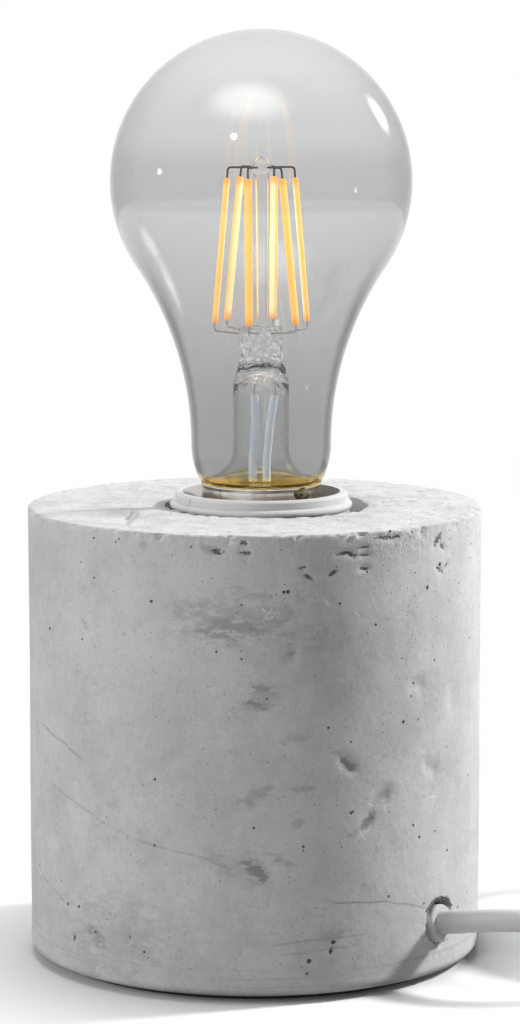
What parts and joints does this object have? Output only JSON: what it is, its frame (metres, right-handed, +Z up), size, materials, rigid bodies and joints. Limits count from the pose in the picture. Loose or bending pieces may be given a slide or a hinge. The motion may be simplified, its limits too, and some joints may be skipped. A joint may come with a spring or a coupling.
{
  "type": "concrete table lamp",
  "caption": "Table lamp with a cast concrete cylinder base, a sunk white screw lampholder, a bare clear filament bulb and a white cord with an in-line switch and a flat plug.",
  "frame": {"origin": "centre of the felt pad's underside, on the lamp's axis", "axes": "+Z up along the lamp's axis; -Y is the pictured front; the cord leaves towards +X and the front"},
  "size_m": [0.2145, 0.1208, 0.2039],
  "materials": {
    "concrete": "matte",
    "felt": "matte",
    "white_plastic": "gloss",
    "cord_pvc": "satin",
    "live_insulation": "satin",
    "neutral_insulation": "satin",
    "zinc_steel": "satin",
    "ceramic": "gloss",
    "brass": "satin",
    "nickel": "gloss",
    "black_glass": "gloss",
    "solder": "satin",
    "cement": "matte",
    "green_board": "satin",
    "black_plastic": "matte",
    "clear_glass": "gloss",
    "filament_yellow": "satin",
    "bare_wire": "satin",
    "sleeve_glass_fibre": "matte"
  },
  "bodies": {
    "lamp_base": {"anchor_clamp": "white_plastic", "anchor_screw": "zinc_steel", "base_pad": "felt", "centre_contact": "brass", "coil_lead": "cord_pvc", "coil_tie": "white_plastic", "concrete_body": "concrete", "contact_rivets": "zinc_steel", "cord_bush": "white_plastic", "fixing_nut": "zinc_steel", "fixing_tube": "zinc_steel", "holder_cup": "white_plastic", "holder_grub_screw": "zinc_steel", "holder_skirt": "white_plastic", "holder_terminals": "brass", "inner_cord": "cord_pvc", "lamp_lead": "cord_pvc", "live_core": "live_insulation", "lower_coil": "cord_pvc", "lower_washer": "zinc_steel", "neutral_core": "neutral_insulation", "pin_sleeves": "black_plastic", "plug_body": "white_plastic", "plug_lead": "cord_pvc", "plug_pins": "nickel", "plug_relief": "white_plastic", "rocker_pin": "zinc_steel", "screw_shell": "brass", "switch_contacts": "brass", "switch_lead": "cord_pvc", "switch_lower_shell": "white_plastic", "switch_screws": "zinc_steel", "switch_upper_shell": "white_plastic", "terminal_block": "ceramic", "terminal_screws": "zinc_steel", "upper_coil": "cord_pvc", "upper_washer": "zinc_steel"},
    "bulb_foot": {"cap_insulator": "black_glass", "cap_tip": "solder"},
    "bulb": {"bulb_glass": "clear_glass", "stem_tube": "clear_glass", "support_rod": "clear_glass", "filament_1": "filament_yellow", "filament_2": "filament_yellow", "filament_3": "filament_yellow", "filament_4": "filament_yellow", "filament_5": "filament_yellow", "filament_6": "filament_yellow", "top_wires": "bare_wire", "bottom_wires": "bare_wire", "lead_wires": "bare_wire", "wire_sleeves": "sleeve_glass_fibre", "cap_cement": "cement", "cap_shell": "nickel", "cap_solder": "solder", "driver_board": "green_board", "driver_parts": "black_plastic"},
    "rocker": {"switch_rocker": "white_plastic"}
  },
  "joints": [
    {"name": "bulb_rise", "type": "slide", "parent": "lamp_base", "child": "bulb_foot", "axis": [0, 0, 1], "range_m": [0, 0.01452]},
    {"name": "bulb_turn", "type": "hinge", "parent": "bulb_foot", "child": "bulb", "pos_m": [0.0014, 0, 0.1], "axis": [0, 0, 1], "range_deg": [0, 1440]},
    {"name": "rocker_tilt", "type": "hinge", "parent": "lamp_base", "child": "rocker", "pos_m": [0.153, 0.011, 0.011], "axis": [1, 0, 0], "range_deg": [0, 20]}
  ],
  "couplings": [
    {"joint": "bulb_rise", "follows": "bulb_turn", "m_per_rad": 0.00057758}
  ]
}
